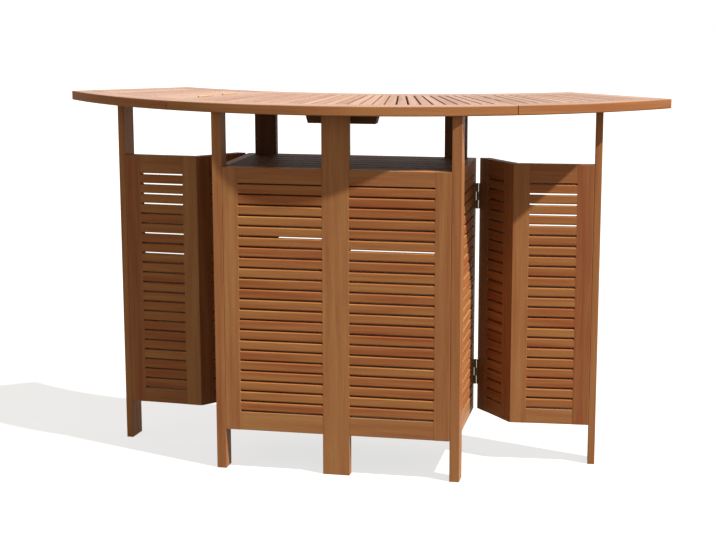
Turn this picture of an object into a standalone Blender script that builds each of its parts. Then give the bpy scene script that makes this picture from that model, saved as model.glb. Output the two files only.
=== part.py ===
"""Folding slatted teak bar counter.

A narrow louvred body carries a crescent top in three sections. The two outer
sections are leaves that fold up and over the middle one. Two louvred wings,
each an L in plan, hang on brass butt hinges at the rear corners of the body:
swung out, their tall outer legs carry the leaves, and swung in they close the
back. Metres, +Z up. The customer stands at -Y and X is the long way. The
origin lies on the floor, under the middle of the whole counter.
"""
import math

import bmesh
import bpy
from mathutils import Vector

# Overall heights
COUNTER_H = 1.050
TOP_T = 0.027
PANEL_BOTTOM = 0.117
PANEL_TOP = 0.871

# Fits
FIT = 0.0003
TOP_FIT = 0.0005
EASE = 0.0015

# Body in plan
BODY_HALF_W = 0.351
BODY_DEPTH = 0.358
PANEL_T = 0.026
SIDE_INSET = 0.008
FRONT_LEG_W = 0.028
FRONT_LEG_D = 0.050
REAR_POST_W = 0.064
REAR_POST_T = 0.026
POST_W = 0.077

# Louvred panels
TOP_RAIL_H = 0.0435
BOTTOM_RAIL_H = 0.0533
WING_TOP_RAIL_H = 0.0533
WING_BOTTOM_RAIL_H = 0.0435
FRONT_STILE_W = 0.045
SIDE_STILE_W = 0.040
SLAT_H = 0.0257
SLAT_GAP = 0.0040
SLAT_T = 0.0256
SLAT_EASE = 0.0022
TONGUE_T = 0.008
TONGUE_D = 0.006
GLUE_LAP = 0.001

# Shelves
SHELF_T = 0.018
SHELF_BOARD_W = 0.046
SHELF_GAP = 0.0055
LOWER_SHELF_Z = 0.165
BEARER_W = 0.020
BEARER_H = 0.030
REAR_TOP_RAIL_H = 0.070

# Crescent top
FRONT_R = 1.179
APEX_OVERHANG = 0.063
MIDDLE_DEPTH = 0.462
BACK_R = 1.151
RIM_W = 0.062
RIM_EASE = 0.0025
JOINT_ANGLE = math.radians(24.8)
JOINT_GAP = 0.004
JOINT_RAIL_W = 0.042
END_FRONT_ANGLE = math.radians(49.5)
END_BACK_ANGLE = math.radians(47.2)
END_RAIL_W = 0.048
TOP_SLAT_T = 0.018
TOP_SLAT_W = 0.0293
TOP_SLAT_GAP = 0.0045
BATTEN_W = 0.050
CLEAT_W = 0.212
CLEAT_D = 0.040
CLEAT_DROP = 0.034
CLEAT_TAPER = 0.010
CLEAT_SETBACK = 0.084

# Wings in plan
WING_CORNER_X = 0.465
WING_CORNER_Y = 0.225
WING_FRONT_TURN = math.radians(3.9)
WING_CLOSED_TURN = math.radians(168.0)
WING_FRONT_W = 0.2273
WING_STILE_W = 0.047
WING_LEG_W = 0.020
WING_LEG_D = 0.070

# Butt hinges of the wings
HINGE_OFFSET = 0.0035
WING_HINGE_L = 0.075
WING_HINGE_PLATE = 0.022
WING_HINGE_INSET = 0.075
WING_PLATE_T = 0.0014

# Butt hinges of the leaves
LEAF_AXIS_RISE = 0.0010
LEAF_HINGE_L = 0.060
LEAF_HINGE_PLATE = 0.020
LEAF_HINGE_SPREAD = 0.105
LEAF_PLATE_T = 0.0014
LEAF_BARREL_R = 0.0030
BARREL_CLEAR = 0.0005
CURL_STEPS = 8
PIN_SIDES = 8
PIN_PROUD = 0.0006
PIN_SLACK = 0.0004

# Levels and planes that follow
TOP_UNDER = COUNTER_H - TOP_T
LEG_TOP = TOP_UNDER - FIT
SLATS_UNDER = COUNTER_H - TOP_SLAT_T
SIDE_X = BODY_HALF_W - SIDE_INSET
SIDE_INNER_X = SIDE_X - PANEL_T
BODY_OPENING = (PANEL_BOTTOM + BOTTOM_RAIL_H, PANEL_TOP - TOP_RAIL_H)
WING_OPENING = (PANEL_BOTTOM + WING_BOTTOM_RAIL_H, PANEL_TOP - WING_TOP_RAIL_H)
SIDES = (("left", -1), ("right", 1))


def unit(angle):
    """Direction from the front arc's centre, turned from -Y towards +X."""
    return Vector((math.sin(angle), -math.cos(angle)))


def meet(point, direction, centre, radius):
    """Where a line meets a circle, on the side nearer the customer."""
    rel = point - centre
    half = rel.dot(direction)
    root = math.sqrt(half * half - rel.dot(rel) + radius * radius)
    hits = [point + direction * (-half + sign * root) for sign in (-1, 1)]
    return min(hits, key=lambda hit: hit.y)


def cross_lines(p, u, q, v):
    """Meeting point of two lines in plan."""
    span = q - p
    return p + u * ((span.x * v.y - span.y * v.x) / (u.x * v.y - u.y * v.x))


def turned(vector, angle):
    cos_a, sin_a = math.cos(angle), math.sin(angle)
    return Vector((vector.x * cos_a - vector.y * sin_a, vector.x * sin_a + vector.y * cos_a))


# The end cut fixes how far back the counter reaches, and so its middle
ARC_TO_BACK = MIDDLE_DEPTH + BACK_R - FRONT_R
END_BACK_POINT = meet(Vector((0, 0)), unit(END_BACK_ANGLE), Vector((0, ARC_TO_BACK)), BACK_R)
REACH_BACK = END_BACK_POINT.y + FRONT_R - APEX_OVERHANG
FRONT = (APEX_OVERHANG - REACH_BACK) / 2
FRONT_CENTRE = Vector((0, FRONT + FRONT_R - APEX_OVERHANG))
BACK_CENTRE = FRONT_CENTRE + Vector((0, ARC_TO_BACK))
REAR = FRONT + BODY_DEPTH


# Modelling helpers

def clear_scene():
    for obj in list(bpy.data.objects):
        bpy.data.objects.remove(obj, do_unlink=True)


def principled(name, colour, roughness, metallic=0.0):
    """A plain surface: linear colour, roughness and metallic value."""
    material = bpy.data.materials.new(name)
    material.use_nodes = True
    shader = material.node_tree.nodes["Principled BSDF"]
    shader.inputs["Base Color"].default_value = (*colour, 1.0)
    shader.inputs["Roughness"].default_value = roughness
    shader.inputs["Metallic"].default_value = metallic
    material.diffuse_color = (*colour, 1.0)
    return material


def empty(name, location):
    """The frame of one body, standing on its joint's axis."""
    body = bpy.data.objects.new(name, None)
    body.location = location
    bpy.context.scene.collection.objects.link(body)
    return body


def add_piece(name, bm, body, material, ease=0.0):
    """Turn a bmesh in counter coordinates into a named piece of a body."""
    bmesh.ops.recalc_face_normals(bm, faces=bm.faces)
    bmesh.ops.translate(bm, verts=bm.verts, vec=-body.location)
    mesh = bpy.data.meshes.new(name)
    bm.to_mesh(mesh)
    bm.free()
    mesh.materials.append(material)
    piece = bpy.data.objects.new(name, mesh)
    piece.parent = body
    bpy.context.scene.collection.objects.link(piece)
    if ease:
        bevel = piece.modifiers.new("eased edges", "BEVEL")
        bevel.width = ease
        bevel.segments = 1
        bevel.limit_method = "ANGLE"
        bevel.angle_limit = math.radians(30)
    return piece


def combine(piece, bm, operation, label):
    """Join a second shape to a piece, or cut it out of the piece."""
    other = add_piece(piece.name + "_" + label, bm, piece.parent, piece.active_material)
    other.hide_render = True
    other.display_type = "WIRE"
    step = piece.modifiers.new(label, "BOOLEAN")
    step.operation = operation
    step.solver = "EXACT"
    step.object = other


def loft(bm, rings):
    """Skin a run of equal outlines and close both ends."""
    loops = [[bm.verts.new(p) for p in ring] for ring in rings]
    count = len(loops[0])
    for near, far in zip(loops, loops[1:]):
        for i in range(count):
            j = (i + 1) % count
            bm.faces.new((near[i], near[j], far[j], far[i]))
    bm.faces.new(list(reversed(loops[0])))
    bm.faces.new(loops[-1])


def prism(bm, outline, z0, z1):
    """Stand a plan outline up between two heights."""
    loft(bm, [[(p[0], p[1], z) for p in outline] for z in (z0, z1)])


def block(bm, x, y, z):
    """A board square to the counter, between two values on each axis."""
    prism(bm, [(x[0], y[0]), (x[1], y[0]), (x[1], y[1]), (x[0], y[1])], z[0], z[1])


def flipped(outline, side):
    return [Vector((side * p.x, p.y)) for p in outline]


def louvre_levels(opening):
    """Bottoms of the louvres between a panel's two rails."""
    z0, z1 = opening
    count = int((z1 - z0) / (SLAT_H + SLAT_GAP) + 0.1)
    gap = (z1 - z0 - count * SLAT_H) / (count + 1)
    return [z0 + gap + k * (SLAT_H + gap) for k in range(count)]


def make_louvres(name, start, end, inward, heights, body, material):
    """A bank of level battens, glued up on a tongue at each end.

    The tongues slide in the stiles' grooves. The battens' front edges are
    eased, and the upper ones catch the light.
    """
    inset = (PANEL_T - SLAT_T) / 2
    near = inset + SLAT_EASE
    far = inset + SLAT_T
    tongue = ((PANEL_T - TONGUE_T) / 2, (PANEL_T + TONGUE_T) / 2)
    levels = louvre_levels(heights)
    along = (end - start).normalized()
    bm = bmesh.new()

    def vert(point, depth, z):
        at = point + inward * depth
        return bm.verts.new((at.x, at.y, z))

    rings = []
    for point, way in ((start, along), (end, -along)):
        rows = []
        for level in levels:
            for z in (level, level + SLAT_H):
                rows.append([vert(point, t, z) for t in tongue]
                            + [vert(point - way * TONGUE_D, t, z) for t in reversed(tongue)])
        bm.faces.new(rows[0])
        bm.faces.new(rows[-1])
        for i, (a, b) in enumerate(zip(rows, rows[1:])):
            for j in range(i % 2 == 0, 4):
                k = (j + 1) % 4
                bm.faces.new((a[j], a[k], b[k], b[j]))
        ends = []
        for low, high, level in zip(rows[0::2], rows[1::2], levels):
            top = level + SLAT_H
            front = [vert(point, near, top), vert(point, inset, top - SLAT_EASE),
                     vert(point, inset, level + SLAT_EASE), vert(point, near, level)]
            back = [vert(point, far, level), vert(point, far, top)]
            bm.faces.new([low[0], high[0]] + front)
            bm.faces.new([low[1], high[1], back[1], back[0]])
            ends.append((low[:2], high[:2], front, back))
        rings.append(ends)
    for (low_a, high_a, front_a, back_a), (low_b, high_b, front_b, back_b) in zip(*rings):
        bm.faces.new([front_a[3], *low_a, back_a[0], back_b[0], *reversed(low_b), front_b[3]])
        bm.faces.new([front_a[0], *high_a, back_a[1], back_b[1], *reversed(high_b), front_b[0]])
        bm.faces.new([back_a[0], back_a[1], back_b[1], back_b[0]])
        for i in range(3):
            bm.faces.new([front_a[i], front_a[i + 1], front_b[i + 1], front_b[i]])
    add_piece(name, bm, body, material)


def cut_grooves(piece, start, end, inward, heights):
    """Plough the grooves that take a bank's tongues into a frame or a post."""
    levels = louvre_levels(heights)
    along = (end - start).normalized()
    near = inward * ((PANEL_T - TONGUE_T) / 2 - FIT)
    deep = inward * (TONGUE_T + 2 * FIT)
    bm = bmesh.new()
    for point, way in ((start, along), (end, -along)):
        a = point + way * FIT + near
        b = point - way * (TONGUE_D + FIT) + near
        prism(bm, [a, b, b + deep, a + deep], levels[0] - FIT, levels[-1] + SLAT_H + FIT)
    combine(piece, bm, "DIFFERENCE", "grooves")


def ring_frame(bm, outer, inner, opening):
    """Stiles and rails glued into one frame round a louvred opening.

    outer and inner hold the corners in plan, near and far on the shown face
    and then near and far on the hidden one.
    """
    loops = []
    for corners, (z0, z1) in ((outer, (PANEL_BOTTOM, PANEL_TOP)), (inner, opening)):
        for near, far in (corners[:2], corners[2:]):
            loops.append([bm.verts.new((p.x, p.y, z))
                          for p, z in ((near, z0), (far, z0), (far, z1), (near, z1))])
    shown, hidden, shown_hole, hidden_hole = loops
    for a, b in ((shown, shown_hole), (shown_hole, hidden_hole),
                 (hidden_hole, hidden), (hidden, shown)):
        for i in range(4):
            j = (i + 1) % 4
            bm.faces.new((a[i], a[j], b[j], b[i]))


# Body

def make_legs(body, wood):
    """Front legs proud of the sides, and rear posts inside them off the floor."""
    for name, side in SIDES:
        bm = bmesh.new()
        x = sorted((side * (BODY_HALF_W - FRONT_LEG_W), side * BODY_HALF_W))
        block(bm, x, (FRONT, FRONT + FRONT_LEG_D), (0, LEG_TOP))
        add_piece("front_leg_" + name, bm, body, wood, EASE)
        bm = bmesh.new()
        outer = SIDE_INNER_X - FIT
        x = sorted((side * (outer - REAR_POST_W), side * outer))
        block(bm, x, (REAR - REAR_POST_T, REAR), (PANEL_BOTTOM, LEG_TOP))
        add_piece("rear_post_" + name, bm, body, wood, EASE)


def make_front_panel(body, wood, slat_wood):
    """Each half: a stile beside the leg, two rails and louvres to the post."""
    bm = bmesh.new()
    block(bm, (-POST_W / 2, POST_W / 2), (FRONT, FRONT + PANEL_T), (0, LEG_TOP))
    post = add_piece("centre_post", bm, body, wood, EASE)
    far = BODY_HALF_W - FRONT_LEG_W - FIT
    near = POST_W / 2 + FIT
    inner = far - FRONT_STILE_W
    low, high = BODY_OPENING
    outline = [(near, PANEL_BOTTOM), (far, PANEL_BOTTOM), (far, PANEL_TOP), (near, PANEL_TOP),
               (near, high), (inner, high), (inner, low), (near, low)]
    for name, side in SIDES:
        bm = bmesh.new()
        loft(bm, [[(side * x, y, z) for x, z in outline] for y in (FRONT, FRONT + PANEL_T)])
        frame = add_piece("front_frame_" + name, bm, body, wood, EASE)
        ends = (Vector((side * near, FRONT)), Vector((side * (inner - FIT), FRONT)))
        for piece in (frame, post):
            cut_grooves(piece, *ends, Vector((0, 1)), BODY_OPENING)
        make_louvres("front_louvres_" + name, *ends, Vector((0, 1)), BODY_OPENING, body, slat_wood)


def make_louvred_panel(name, outer, opening, inward, heights, body, wood, slat_wood):
    """A frame, grooved and filled with louvres, that fits a plan outline."""
    deep = inward * PANEL_T
    along = (opening[1] - opening[0]).normalized() * FIT
    ends = (opening[0] + along, opening[1] - along)
    bm = bmesh.new()
    ring_frame(bm, outer, (*opening, opening[0] + deep, opening[1] + deep), heights)
    frame = add_piece(name % "frame", bm, body, wood, EASE)
    cut_grooves(frame, *ends, inward, heights)
    make_louvres(name % "louvres", *ends, inward, heights, body, slat_wood)


def make_side_panels(body, wood, slat_wood):
    """Louvred sides run from the front leg's back to the rear of the body."""
    y0 = FRONT + FRONT_LEG_D + FIT
    for name, side in SIDES:
        near = Vector((side * SIDE_X, y0))
        far = Vector((side * SIDE_X, REAR))
        inward = Vector((-side, 0))
        stile = Vector((0, SIDE_STILE_W))
        outer = (near, far, near + inward * PANEL_T, far + inward * PANEL_T)
        make_louvred_panel("side_%s_" + name, outer, (near + stile, far - stile), inward,
                           BODY_OPENING, body, wood, slat_wood)


def make_shelf(name, top_z, body, wood):
    """Boards along X on two bearers, from the front panel to the rear posts."""
    y0 = FRONT + PANEL_T + FIT
    y1 = REAR - REAR_POST_T - FIT
    half = SIDE_INNER_X - FIT
    depth = y1 - y0
    count = int((depth + SHELF_GAP) / (SHELF_BOARD_W + SHELF_GAP) + 0.1)
    pitch = (depth + SHELF_GAP) / count
    bm = bmesh.new()
    for k in range(count):
        y = y0 + k * pitch
        block(bm, (-half, half), (y, y + pitch - SHELF_GAP), (top_z - SHELF_T, top_z))
    shelf = add_piece(name, bm, body, wood)
    under = top_z - SHELF_T
    bm = bmesh.new()
    for _, side in SIDES:
        x = sorted((side * (half - GLUE_LAP - BEARER_W), side * (half - GLUE_LAP)))
        block(bm, x, (y0 + GLUE_LAP, y1 - SHELF_GAP), (under - BEARER_H, under + GLUE_LAP))
    combine(shelf, bm, "UNION", "bearers")


def make_rear_rails(body, wood):
    """Rails between the rear posts close the shelves' rear edges."""
    half = SIDE_INNER_X - FIT - REAR_POST_W - FIT
    y = (REAR - REAR_POST_T, REAR)
    for name, z in (("rear_top_rail", (PANEL_TOP - REAR_TOP_RAIL_H, PANEL_TOP)),
                    ("rear_bottom_rail", (PANEL_BOTTOM, PANEL_BOTTOM + BOTTOM_RAIL_H))):
        bm = bmesh.new()
        block(bm, (-half, half), y, z)
        add_piece(name, bm, body, wood, EASE)


# Crescent top

def joint_line(offset):
    """A line beside the right leaf's hinge line, moved outwards by offset."""
    along = unit(JOINT_ANGLE)
    outward = Vector((-along.y, along.x))
    return FRONT_CENTRE + outward * offset, along


def end_line(offset):
    """The right end cut, moved inwards by offset."""
    front = FRONT_CENTRE + unit(END_FRONT_ANGLE) * FRONT_R
    back = FRONT_CENTRE + END_BACK_POINT
    along = (front - back).normalized()
    outward = Vector((-along.y, along.x))
    return front - outward * offset, along


def mirrored(line):
    point, along = line
    return Vector((-point.x, point.y)), Vector((-along.x, along.y))


def arc(centre, radius, start, end, steps):
    """Points of an arc round centre, from start to end."""
    a = math.atan2(start.x - centre.x, centre.y - start.y)
    b = math.atan2(end.x - centre.x, centre.y - end.y)
    return [centre + unit(a + (b - a) * i / steps) * radius for i in range(steps + 1)]


def band(line_a, line_b, centre, outer_r, inner_r, steps):
    """Outline between two arcs round one centre, cut by two lines."""
    outline = []
    for radius, first, last in ((outer_r, line_a, line_b), (inner_r, line_b, line_a)):
        start = meet(*first, centre, radius)
        end = meet(*last, centre, radius)
        outline += arc(centre, radius, start, end, steps)
    return outline


def crossbar(line_a, line_b):
    """Outline of a rail that runs from the front rim to the back rim."""
    front_r = FRONT_R - RIM_W - TOP_FIT
    back_r = BACK_R + RIM_W + TOP_FIT
    front = arc(FRONT_CENTRE, front_r, meet(*line_a, FRONT_CENTRE, front_r),
                meet(*line_b, FRONT_CENTRE, front_r), 2)
    back = arc(BACK_CENTRE, back_r, meet(*line_b, BACK_CENTRE, back_r),
               meet(*line_a, BACK_CENTRE, back_r), 2)
    return front + back


def make_slats(name, line_a, line_b, steps, side, body, wood):
    """Tapered slats fan out between two rails, on two bent battens.

    The gaps keep one width at each rim, so the slats take up the taper.
    """
    ends = []
    front_r = FRONT_R - RIM_W - TOP_FIT
    back_r = BACK_R + RIM_W + TOP_FIT
    count = 0
    for centre, radius in ((FRONT_CENTRE, front_r), (BACK_CENTRE, back_r)):
        a = meet(*line_a, centre, radius)
        b = meet(*line_b, centre, radius)
        angle = math.atan2(a.x - centre.x, centre.y - a.y)
        span = math.atan2(b.x - centre.x, centre.y - b.y) - angle
        count = count or round((span * radius - TOP_SLAT_GAP) / (TOP_SLAT_W + TOP_SLAT_GAP))
        gap = TOP_SLAT_GAP / radius
        width = (span - (count + 1) * gap) / count
        ends.append([(centre + unit(angle + gap + k * (width + gap)) * radius,
                      centre + unit(angle + (k + 1) * (width + gap)) * radius)
                     for k in range(count)])
    bm = bmesh.new()
    for front, back in zip(*ends):
        rings = []
        for left, right in (front, back):
            ease = (right - left).normalized() * EASE
            ring = [(left, SLATS_UNDER), (right, SLATS_UNDER), (right, COUNTER_H - EASE),
                    (right - ease, COUNTER_H), (left + ease, COUNTER_H), (left, COUNTER_H - EASE)]
            rings.append([(side * p.x, p.y, z) for p, z in ring])
        loft(bm, rings)
    slats = add_piece(name, bm, body, wood)
    bm = bmesh.new()
    for centre, outer_r, inner_r in ((FRONT_CENTRE, front_r - GLUE_LAP, front_r - BATTEN_W),
                                     (BACK_CENTRE, back_r + BATTEN_W, back_r + GLUE_LAP)):
        outline = band(line_a, line_b, centre, outer_r, inner_r, steps)
        prism(bm, flipped(outline, side), TOP_UNDER, SLATS_UNDER + GLUE_LAP)
    combine(slats, bm, "UNION", "battens")


def make_rim(name, which, line_a, line_b, steps, side, body, wood):
    """Front or back edge member of one section, bent to its arc."""
    if which == "front":
        outline = band(line_a, line_b, FRONT_CENTRE, FRONT_R, FRONT_R - RIM_W, steps)
    else:
        outline = band(line_a, line_b, BACK_CENTRE, BACK_R + RIM_W, BACK_R, steps)
    bm = bmesh.new()
    prism(bm, flipped(outline, side), TOP_UNDER, COUNTER_H)
    add_piece(name, bm, body, wood, RIM_EASE)


def make_rail(name, line_a, line_b, side, body, wood):
    """A rail between the rims, beside the hinge line or at the end."""
    bm = bmesh.new()
    prism(bm, flipped(crossbar(line_a, line_b), side), TOP_UNDER, COUNTER_H)
    return add_piece(name, bm, body, wood, EASE)


def make_middle_top(body, wood, slat_wood):
    edge = joint_line(-JOINT_GAP / 2)
    inner = joint_line(-JOINT_GAP / 2 - JOINT_RAIL_W)
    fitted = joint_line(-JOINT_GAP / 2 - JOINT_RAIL_W - TOP_FIT)
    make_rim("top_front_rim", "front", mirrored(edge), edge, 18, 1, body, wood)
    make_rim("top_back_rim", "back", mirrored(edge), edge, 14, 1, body, wood)
    for name, side in SIDES:
        rail = make_rail("top_end_rail_" + name, inner, edge, side, body, wood)
        cut_barrel_notches(rail, side)
    make_slats("top_slats", mirrored(fitted), fitted, 12, 1, body, slat_wood)
    bm = bmesh.new()
    low = TOP_UNDER - CLEAT_DROP
    high = SLATS_UNDER - FIT
    half = CLEAT_W / 2
    y0 = FRONT + CLEAT_SETBACK
    ring = [(-half, high), (-half, TOP_UNDER), (CLEAT_TAPER - half, low),
            (half - CLEAT_TAPER, low), (half, TOP_UNDER), (half, high)]
    loft(bm, [[(x, y, z) for x, z in ring] for y in (y0, y0 + CLEAT_D)])
    add_piece("centre_cleat", bm, body, wood, EASE)


def make_leaf(name, side, body, wood, slat_wood):
    """One outer section, from the hinge line to the end cut."""
    edge = joint_line(JOINT_GAP / 2)
    edge_inner = joint_line(JOINT_GAP / 2 + JOINT_RAIL_W)
    edge_fitted = joint_line(JOINT_GAP / 2 + JOINT_RAIL_W + TOP_FIT)
    end = end_line(0)
    end_inner = end_line(END_RAIL_W)
    end_fitted = end_line(END_RAIL_W + TOP_FIT)
    make_rim("leaf_front_rim_" + name, "front", edge, end, 9, side, body, wood)
    make_rim("leaf_back_rim_" + name, "back", edge, end, 7, side, body, wood)
    rail = make_rail("leaf_hinge_rail_" + name, edge, edge_inner, side, body, wood)
    cut_barrel_notches(rail, side)
    make_rail("leaf_end_rail_" + name, end_inner, end, side, body, wood)
    make_slats("leaf_slats_" + name, edge_fitted, end_fitted, 6, side, body, slat_wood)


# Wings

class WingPlan:
    """Plan of the right wing: its corner, directions and hinge stile's bevel."""

    def __init__(self):
        self.axis = Vector((SIDE_X + HINGE_OFFSET, REAR + HINGE_OFFSET))
        self.corner = Vector((WING_CORNER_X, FRONT + WING_CORNER_Y))
        reach = self.axis - self.corner
        self.back = turned(reach.normalized(), -math.asin(HINGE_OFFSET / reach.length))
        self.back_in = Vector((self.back.y, -self.back.x))
        self.out = Vector((math.cos(WING_FRONT_TURN), math.sin(WING_FRONT_TURN)))
        self.out_in = Vector((-self.out.y, self.out.x))
        self.inner_corner = cross_lines(self.corner + self.back_in * PANEL_T, self.back,
                                        self.corner + self.out_in * PANEL_T, self.out)
        face = self.axis + turned(Vector((0, HINGE_OFFSET)), -WING_CLOSED_TURN)
        run = turned(Vector((1, 0)), -WING_CLOSED_TURN)
        self.bevel_out = cross_lines(self.corner, self.back, face, run)
        self.bevel_in = cross_lines(self.corner + self.back_in * PANEL_T, self.back, face, run)
        self.back_w = (self.bevel_out - self.corner).length


def make_wing(name, side, body, wood, slat_wood):
    """Return panel on the hinge, front panel, and the leg that carries a leaf."""
    plan = WingPlan()
    w = WING_STILE_W
    back_shift = plan.back * FIT
    out_shift = plan.out * FIT
    hinge_edge = (plan.bevel_out, plan.bevel_in)
    far = plan.corner + plan.out * (WING_FRONT_W - FIT)
    leg_edge = (far, far + plan.out_in * PANEL_T)
    panels = (("wing_return_%s_", plan.back, plan.back_in, back_shift, hinge_edge, plan.back_w),
              ("wing_front_%s_", plan.out, plan.out_in, out_shift, leg_edge, WING_FRONT_W - FIT))
    for label, along, inward, shift, edge, width in panels:
        outer = (plan.corner + shift, edge[0], plan.inner_corner + shift, edge[1])
        opening = (plan.corner + along * w, plan.corner + along * (width - w))
        make_louvred_panel(label + name, flipped(outer, side), flipped(opening, side),
                           flipped([inward], side)[0], WING_OPENING, body, wood, slat_wood)
    foot = plan.corner + plan.out * WING_FRONT_W
    far = foot + plan.out * WING_LEG_W
    deep = plan.out_in * WING_LEG_D
    bm = bmesh.new()
    prism(bm, flipped([foot, far, far + deep, foot + deep], side), 0, LEG_TOP)
    add_piece("wing_leg_" + name, bm, body, wood, EASE)


# Hinges

def knuckle_arc(radius, start_offset, end_offset):
    """Points round the pin, from one offset beside the plate to the other."""
    start = math.asin(min(1, start_offset / radius))
    end = 2 * math.pi + math.asin(min(1, end_offset / radius))
    turns = [start + (end - start) * i / CURL_STEPS for i in range(CURL_STEPS + 1)]
    return [(radius * math.sin(a), -radius * math.cos(a)) for a in turns]


def knuckle_outline(near, far, outer_r, inner_r, bored):
    """Section of a knuckle between its plate's two faces.

    The knuckle on the moving leaf is rolled round the pin and has its bore.
    """
    if not bored:
        return knuckle_arc(outer_r, far, near)
    slit = near - FIT
    bore = knuckle_arc(inner_r, near, slit)
    return knuckle_arc(outer_r, far, slit) + list(reversed(bore))


def hinge_leaf(frame, length, plate, near, far, outer_r, inner_r, moving):
    """One leaf of a butt hinge: a plate with its knuckles on the axis.

    frame is the middle of the axis, the axis, the way the plate hangs and the
    way to the wood behind it. The middle knuckle is on the moving leaf.
    """
    origin, axis, hang, wood_way = frame
    third = length / 6
    shoulder = outer_r + FIT
    if moving:
        stations = [-length / 2, FIT - third, third - FIT, length / 2]
        curled = (False, True, False)
    else:
        stations = [-length / 2, -third, third, length / 2]
        curled = (True, False, True)
    knuckle = knuckle_outline(near, far, outer_r, inner_r, moving)
    bm = bmesh.new()

    def vert(t, q, up):
        return bm.verts.new(origin + axis * t + wood_way * q - hang * up)

    rows = []
    for t in stations:
        rows.append([vert(t, far, -plate), vert(t, near, -plate),
                     vert(t, near, -shoulder), vert(t, far, -shoulder)])
    bm.faces.new(rows[0])
    bm.faces.new(list(reversed(rows[-1])))
    for i, has_knuckle in enumerate(curled):
        a, b = rows[i], rows[i + 1]
        for m, n in ((3, 0), (0, 1), (1, 2)):
            bm.faces.new((a[m], a[n], b[n], b[m]))
        if not has_knuckle:
            bm.faces.new((a[2], a[3], b[3], b[2]))
            continue
        rims = []
        for row, t in ((a, stations[i]), (b, stations[i + 1])):
            rims.append([row[3]] + [vert(t, q, up) for q, up in knuckle] + [row[2]])
        for j in range(len(knuckle) + 1):
            bm.faces.new((rims[0][j], rims[0][j + 1], rims[1][j + 1], rims[1][j]))
        bm.faces.new(list(reversed(rims[0])))
        bm.faces.new(rims[1])
    return bm


def rod(bm, origin, axis, length, radius, sides):
    """A straight round bar about an axis."""
    across = axis.orthogonal().normalized()
    beside = axis.cross(across)
    rings = []
    for t in (-length / 2, length / 2):
        rings.append([origin + axis * t
                      + across * (radius * math.cos(2 * math.pi * i / sides))
                      + beside * (radius * math.sin(2 * math.pi * i / sides))
                      for i in range(sides)])
    loft(bm, rings)


def wing_hinges(side):
    """Middle, axis and both leaf frames of each hinge of one wing."""
    plan = WingPlan()
    up = Vector((0, 0, 1))
    turn = -WING_CLOSED_TURN
    hang = turned(Vector((-1, 0)), turn)
    behind = turned(Vector((0, 1)), turn)
    half = WING_HINGE_INSET + WING_HINGE_L / 2
    hinges = []
    for z in (PANEL_BOTTOM + half, PANEL_TOP - half):
        origin = Vector((side * plan.axis.x, plan.axis.y, z))
        fixed = (origin, up, Vector((-side, 0, 0)), Vector((0, -1, 0)))
        moving = (origin, up, Vector((side * hang.x, hang.y, 0)),
                  Vector((side * behind.x, behind.y, 0)))
        hinges.append((fixed, moving))
    return hinges


def leaf_hinges(side):
    """The same for one leaf: two hinges along the hinge line."""
    point, along = joint_line(0)
    front_r = FRONT_R - RIM_W
    back_r = BACK_R + RIM_W
    mid = (meet(point, along, FRONT_CENTRE, front_r) + meet(point, along, BACK_CENTRE, back_r)) / 2
    axis = Vector((side * along.x, along.y, 0))
    outward = Vector((side * -along.y, along.x, 0))
    down = Vector((0, 0, -1))
    hinges = []
    for sign in (-1, 1):
        at = mid + along * (sign * LEAF_HINGE_SPREAD / 2)
        origin = Vector((side * at.x, at.y, COUNTER_H + LEAF_AXIS_RISE))
        hinges.append(((origin, axis, down, -outward), (origin, axis, down, outward)))
    return hinges


def cut_barrel_notches(rail, side):
    """Let the knuckles of a leaf's hinges into the top edge of a rail."""
    bm = bmesh.new()
    for (origin, axis, _, _), _ in leaf_hinges(side):
        rod(bm, origin, axis, LEAF_HINGE_L + 4 * BARREL_CLEAR, LEAF_BARREL_R + 2 * BARREL_CLEAR, 12)
    combine(rail, bm, "DIFFERENCE", "barrel_notches")


def make_hinges(bodies, brass):
    """Fixed leaves hold the pins, moving leaves ride on what swings."""
    wing_far = HINGE_OFFSET - FIT
    wing_near = wing_far - WING_PLATE_T
    wing_sizes = (WING_HINGE_L, WING_HINGE_PLATE, wing_near, wing_far, wing_far, wing_near)
    leaf_far = JOINT_GAP / 2 - FIT
    leaf_near = leaf_far - LEAF_PLATE_T
    leaf_bore = LEAF_BARREL_R - LEAF_PLATE_T
    leaf_sizes = (LEAF_HINGE_L, LEAF_HINGE_PLATE, leaf_near, leaf_far, LEAF_BARREL_R, leaf_bore)
    kinds = (("wing", ("lower", "upper"), wing_hinges, wing_sizes),
             ("leaf", ("front", "back"), leaf_hinges, leaf_sizes))
    for kind, places, find, sizes in kinds:
        for name, side in SIDES:
            for place, (fixed, moving) in zip(places, find(side)):
                label = "%s_hinge_%s_%s_%s" % (kind, place, "%s", name)
                leaf = add_piece(label % "fixed", hinge_leaf(fixed, *sizes, moving=False),
                                 bodies["counter"], brass)
                bm = bmesh.new()
                rod(bm, fixed[0], fixed[1], sizes[0] + 2 * PIN_PROUD, sizes[5] - PIN_SLACK, PIN_SIDES)
                combine(leaf, bm, "UNION", "pin")
                add_piece(label % "moving", hinge_leaf(moving, *sizes, moving=True),
                          bodies["%s_%s" % (kind, name)], brass)


def make_bodies():
    """The counter itself and the four bodies that turn on it."""
    axis = WingPlan().axis
    bodies = {"counter": empty("counter", (0, 0, 0))}
    for name, side in SIDES:
        bodies["wing_" + name] = empty("wing_" + name, (side * axis.x, axis.y, 0))
        front, back = (hinge[0][0] for hinge in leaf_hinges(side))
        bodies["leaf_" + name] = empty("leaf_" + name, (front + back) / 2)
    return bodies


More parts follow.
